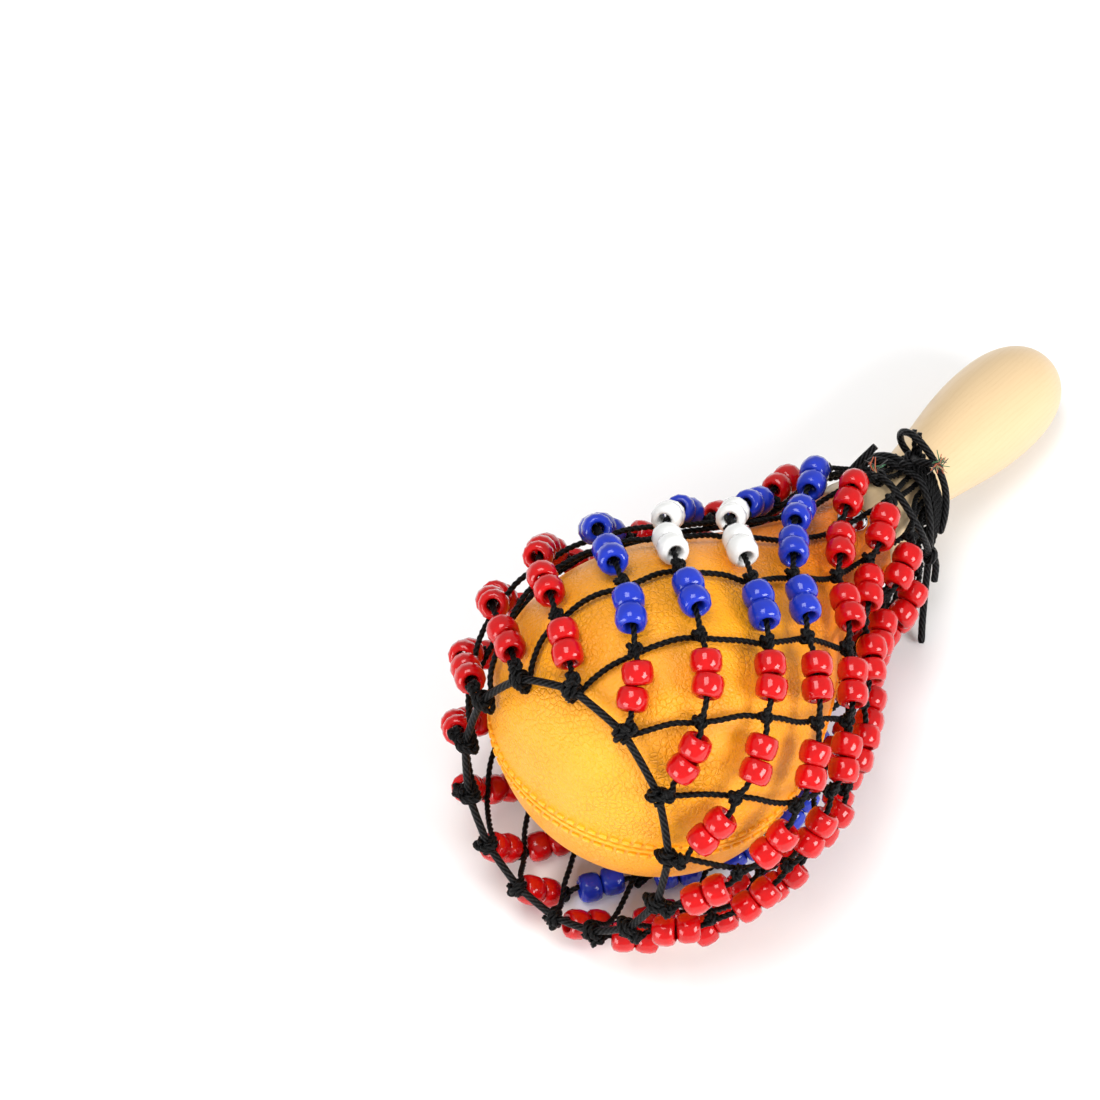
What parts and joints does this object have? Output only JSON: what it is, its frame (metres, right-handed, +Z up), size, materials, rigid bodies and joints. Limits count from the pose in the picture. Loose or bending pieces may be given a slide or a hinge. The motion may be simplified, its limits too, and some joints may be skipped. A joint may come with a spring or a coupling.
{
  "type": "beaded maraca",
  "caption": "Maraca with a moulded amber head on a turned wooden handle, tacked at the neck, inside a loose knotted net of red, blue and white beads tied at the waist.",
  "frame": {"origin": "on the table under the middle of the lying maraca, drawstring tails left out", "axes": "+Z up; +X from the head towards the handle's end; the maraca's axis lies in the plane y = 0 and leans down towards +X"},
  "size_m": [0.241, 0.1209, 0.1081],
  "materials": {
    "turned_wood": "pale straight-grained wood under satin lacquer",
    "amber_leatherette": "moulded amber plastic with a fine leather grain, satin",
    "tack_chrome": "polished chrome plating",
    "pellet_plastic": "plain moulded plastic",
    "black_cord": "black polyester cord, twisted and braided",
    "red_bead": "glossy opaque red plastic",
    "blue_bead": "glossy opaque blue plastic",
    "white_bead": "glossy opaque white plastic"
  },
  "bodies": {
    "maraca": {"handle": "turned_wood", "head_shell_upper": "amber_leatherette", "head_shell_lower": "amber_leatherette", "neck_tacks": "tack_chrome"},
    "bead_net": {"crown_ring": "black_cord", "net_cord_01": "black_cord", "net_cord_02": "black_cord", "net_cord_03": "black_cord", "net_cord_04": "black_cord", "net_cord_05": "black_cord", "net_cord_06": "black_cord", "net_cord_07": "black_cord", "net_cord_08": "black_cord", "net_cord_09": "black_cord", "net_cord_10": "black_cord", "net_cord_11": "black_cord", "net_cord_12": "black_cord", "net_cord_13": "black_cord", "net_cord_14": "black_cord", "red_beads_01": "red_bead", "red_beads_02": "red_bead", "red_beads_03": "red_bead", "red_beads_04": "red_bead", "red_beads_05": "red_bead", "red_beads_06": "red_bead", "red_beads_07": "red_bead", "red_beads_08": "red_bead", "red_beads_09": "red_bead", "red_beads_10": "red_bead", "red_beads_11": "red_bead", "red_beads_12": "red_bead", "red_beads_13": "red_bead", "red_beads_14": "red_bead", "blue_beads_04": "blue_bead", "blue_beads_05": "blue_bead", "blue_beads_06": "blue_bead", "blue_beads_07": "blue_bead", "blue_beads_11": "blue_bead", "blue_beads_12": "blue_bead", "blue_beads_13": "blue_bead", "blue_beads_14": "blue_bead", "white_beads_05": "white_bead", "white_beads_06": "white_bead", "white_beads_12": "white_bead", "white_beads_13": "white_bead", "neck_lashing": "black_cord", "drawstring_tail_long": "black_cord", "drawstring_tail_loop": "black_cord"},
    "pellets": {"rattle_pellets": "pellet_plastic"}
  },
  "joints": [
    {"name": "net_twist", "type": "hinge", "parent": "maraca", "child": "bead_net", "pos_m": [-0.01226, 0, 0.04146], "axis": [0.9748, 0, -0.2229], "range_deg": [-20, 20]},
    {"name": "pellet_roll", "type": "hinge", "parent": "maraca", "child": "pellets", "pos_m": [-0.06491, 0, 0.0535], "axis": [0.9748, 0, -0.2229], "continuous": true}
  ]
}
